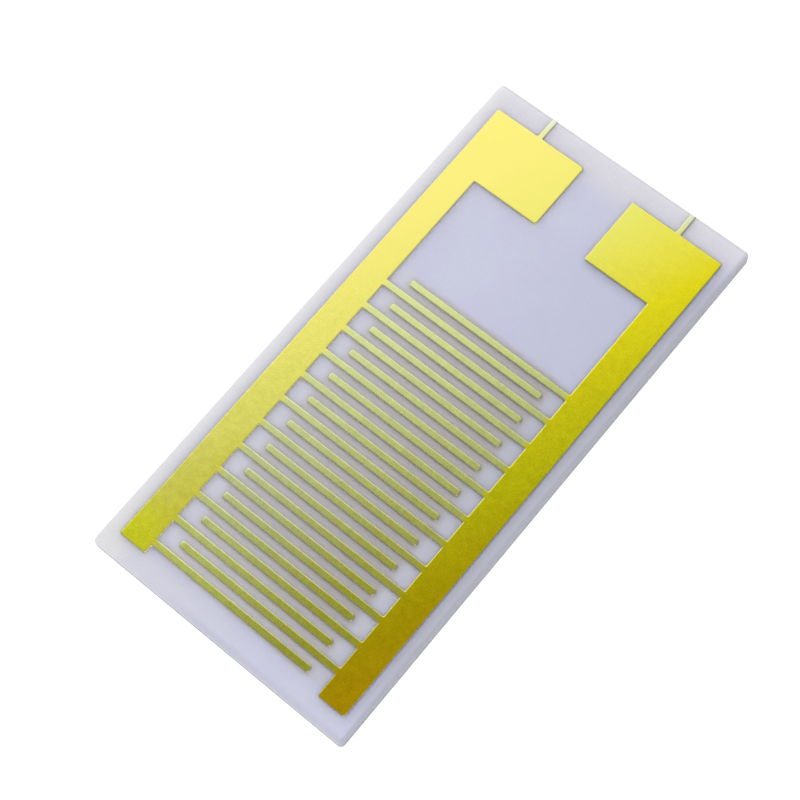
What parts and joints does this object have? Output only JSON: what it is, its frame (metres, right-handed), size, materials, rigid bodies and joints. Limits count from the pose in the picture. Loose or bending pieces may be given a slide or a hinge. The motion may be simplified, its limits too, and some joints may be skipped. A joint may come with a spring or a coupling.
{
  "type": "interdigital electrode sensor chip",
  "caption": "Thin rectangular ceramic plate with two gold comb electrodes whose fingers interleave, each ending in a rectangular contact pad at one end.",
  "frame": {"origin": "middle of the plate's underside", "axes": "+Z out of the electrode side, +Y along the plate towards the contact pads, +X across the bus bars"},
  "size_m": [0.01, 0.02, 0.0004],
  "materials": {
    "alumina": "matt as fired",
    "plated_gold": "satin gold plating"
  },
  "bodies": {
    "root": {"ceramic_plate": "alumina", "left_comb": "plated_gold", "right_comb": "plated_gold"}
  },
  "joints": []
}
